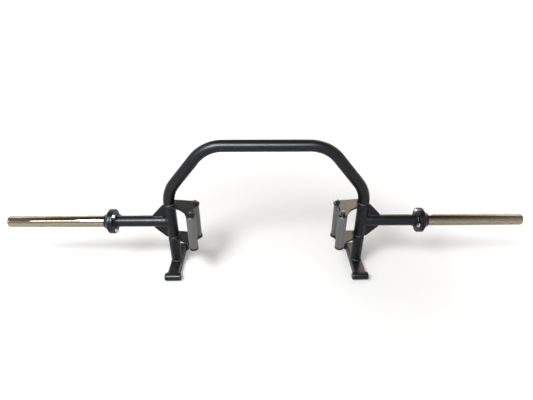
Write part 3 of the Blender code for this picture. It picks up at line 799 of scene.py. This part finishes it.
bar_round = 0.004
bar_edge = arc((bar_r - bar_round, bar_half - bar_round), bar_round, 90.0, 0.0, 9)
half_profile = [(0.0, bar_half)] + bar_edge
other_half = [(radius, -height) for radius, height in reversed(half_profile)]
bar_mesh = turned(half_profile + other_half, ring=False)
bar_weld_leg = 0.0030
top_toe_inset, top_toe_lean, top_tilt = 0.0012, math.radians(12.0), 0.1
flank_start, flank_end = -60.0, 48.0
foot_weld_spread = 52.0
for side_name, side in sides.items():
    channel = coated(f"foot_{side_name}", channel_mesh, [f"foot_channel_{side_name}"],
                     Matrix.Translation((side * arm_x, 0.0, 0.0)))
    edges = channel.modifiers.new("coated_edges", "BEVEL")
    edges.width = 0.0006
    edges.segments = 2
    edges.limit_method = "ANGLE"
    edges.angle_limit = math.radians(40)
    level_faces(channel)
    for end_name, end in (("front", -1), ("rear", 1)):
        node = f"foot_bar_{side_name}" if end_name == "front" else f"foot_bar_rear_{side_name}"
        coated(f"round_bar_{end_name}_{side_name}", bar_mesh, [node],
               facing(1, (side * arm_x, end * bar_y, bar_r)))
        stations = []
        for x in (bend_x, -bend_x):
            on_channel = Vector((side * arm_x + x, end * (channel_reach - top_toe_inset), channel_top))
            on_bar = Vector((side * arm_x + x, end * (bar_y - bar_r * math.sin(top_toe_lean)),
                             bar_r + bar_r * math.cos(top_toe_lean)))
            stations.append([on_channel, on_bar, Vector((0.0, -top_tilt * end, 1.0))])
        coated(f"bar_weld_top_{end_name}_{side_name}", bead(stations, crown=0.0004, depth=0.0025))
        for flank_name, flank in (("inner", -side), ("outer", side)):
            away = Vector((flank, 0.0, 0.0))
            stations = []
            for y, z in arc((0, 0), 1.0, flank_start, flank_end, 19):
                edge = Vector((side * arm_x + flank * channel_half,
                               end * (bar_y - bar_r * y), bar_r + bar_r * z))
                back = Vector((0.0, -end * y, z))
                stations.append([edge + back * bar_weld_leg, edge + away * bar_weld_leg, back + away])
            coated(f"bar_weld_{flank_name}_{end_name}_{side_name}",
                   bead(stations, crown=0.0006, depth=0.002))
        seat, up = Vector((side * arm_x, 0.0, channel_top)), Vector((0.0, 0.0, 1.0))
        first_deg, last_deg = end * 90.0 - foot_weld_spread, end * 90.0 + foot_weld_spread
        stations = [ring_station(seat, Vector((x, y, 0.0)), up)
                    for x, y in arc((0, 0), 1.0, first_deg, last_deg, 40)]
        coated(f"foot_weld_{end_name}_{side_name}", bead(stations))


# Studio
# A plain white floor that turns to clean white away from the bar, a surround that is pale all round
# and darker overhead, and one soft lamp above, in front and to the left. The cool lamps in front and
# the warm ones behind show only as reflections in the steel.

floor_half = 40.0
floor_corners = [(x * floor_half, y * floor_half, 0.0) for x, y in ((-1, -1), (1, -1), (1, 1), (-1, 1))]
floor_mesh = bpy.data.meshes.new("floor")
floor_mesh.from_pydata(floor_corners, [], [(0, 1, 2, 3)])
floor = bpy.data.objects.new("floor", floor_mesh)
bpy.context.scene.collection.objects.link(floor)
paper = new_finish("white_paper", (0.78, 0.78, 0.78), 0.0, 0.9)
nodes, links = paper.node_tree.nodes, paper.node_tree.links
ray = nodes.new("ShaderNodeLightPath")
seen = ray.outputs["Is Camera Ray"]
for other in ("Is Glossy Ray", "Is Transmission Ray"):
    either = nodes.new("ShaderNodeMath")
    either.operation = "MAXIMUM"
    links.new(seen, either.inputs[0])
    links.new(ray.outputs[other], either.inputs[1])
    seen = either.outputs["Value"]
spot = nodes.new("ShaderNodeNewGeometry")
distance = nodes.new("ShaderNodeVectorMath")
distance.operation = "LENGTH"
links.new(spot.outputs["Position"], distance.inputs[0])
away = nodes.new("ShaderNodeMapRange")
away.interpolation_type = "SMOOTHSTEP"
away.inputs["From Min"].default_value = 0.5
away.inputs["From Max"].default_value = 1.9
away.inputs["To Min"].default_value = 0.15
away.inputs["To Max"].default_value = 0.75
links.new(distance.outputs["Value"], away.inputs["Value"])
share = nodes.new("ShaderNodeMath")
share.operation = "MULTIPLY"
links.new(seen, share.inputs[0])
links.new(away.outputs["Result"], share.inputs[1])
clean_white = nodes.new("ShaderNodeEmission")
links.new(share.outputs["Value"], clean_white.inputs["Strength"])
both = nodes.new("ShaderNodeAddShader")
links.new(nodes["Principled BSDF"].outputs["BSDF"], both.inputs[0])
links.new(clean_white.outputs["Emission"], both.inputs[1])
links.new(both.outputs["Shader"], nodes["Material Output"].inputs["Surface"])
floor_mesh.materials.append(paper)

world = bpy.data.worlds.new("surround")
bpy.context.scene.world = world
world.use_nodes = True
nodes, links = world.node_tree.nodes, world.node_tree.links
way = nodes.new("ShaderNodeTexCoord")
height = nodes.new("ShaderNodeSeparateXYZ")
ramp = nodes.new("ShaderNodeValToRGB")
below, above = ramp.color_ramp.elements
below.position, above.position = 0.30, 1.0
below.color = (1.0, 1.0, 1.0, 1.0)
above.color = (0.06, 0.055, 0.05, 1.0)
ramp.color_ramp.elements.new(0.64).color = (0.50, 0.47, 0.43, 1.0)
links.new(way.outputs["Generated"], height.inputs["Vector"])
links.new(height.outputs["Z"], ramp.inputs["Fac"])
links.new(ramp.outputs["Color"], nodes["Background"].inputs["Color"])


def soft_lamp(name, spot, target, size, power, colour):
    lamp_data = bpy.data.lights.new(name, "AREA")
    lamp_data.shape = "RECTANGLE"
    lamp_data.size, lamp_data.size_y = size
    lamp_data.energy = power
    lamp_data.color = colour
    lamp = bpy.data.objects.new(name, lamp_data)
    bpy.context.scene.collection.objects.link(lamp)
    lamp.visible_camera = False
    lamp.location = spot
    lamp.rotation_euler = (Vector(target) - Vector(spot)).to_track_quat("-Z", "Y").to_euler()
    return lamp


soft_lamp("key_lamp", (-1.2, -1.5, 2.6), (0.0, 0.0, 0.2), (1.0, 0.8), 84.0, (1.0, 1.0, 1.0))
only_reflected = (
    ("glint_lamp", (-0.6, -1.9, 2.1), (-0.6, 0.0, 0.3), (2.0, 0.5), 290.0, (0.70, 0.85, 1.0)),
    ("sleeve_glint_lamp", (-2.45, -1.9, 2.1), (-2.45, 0.0, 0.3), (1.7, 0.5), 34.0, (0.92, 0.95, 1.0)),
    ("window_lamp", (0.95, 1.95, 1.65), (0.38, 0.0, 0.2), (0.8, 0.6), 13.0, (1.0, 0.84, 0.61)),
    ("wall_lamp_right", (2.1, 2.1, 1.7), (0.9, 0.0, 0.25), (3.0, 1.6), 29.0, (1.0, 0.85, 0.64)),
    ("wall_lamp_left", (-2.5, 2.1, 1.7), (-0.9, 0.0, 0.25), (2.4, 1.6), 24.0, (1.0, 0.87, 0.70)))
for lamp_values in only_reflected:
    soft_lamp(*lamp_values).visible_diffuse = False

focal_px, width_px, sensor = 395, 533, 36.0
camera_data = bpy.data.cameras.new("camera")
camera_data.lens = sensor * focal_px / width_px
camera_data.sensor_width = sensor
camera_data.sensor_fit = "HORIZONTAL"
camera = bpy.data.objects.new("camera", camera_data)
bpy.context.scene.collection.objects.link(camera)
camera.location = (-0.01336, -1.42489, 1.19944)
camera.rotation_euler = [math.radians(a) for a in (59.0028, -0.0229, -0.5179)]
bpy.context.scene.camera = camera
bpy.context.scene.view_settings.view_transform = "Standard"
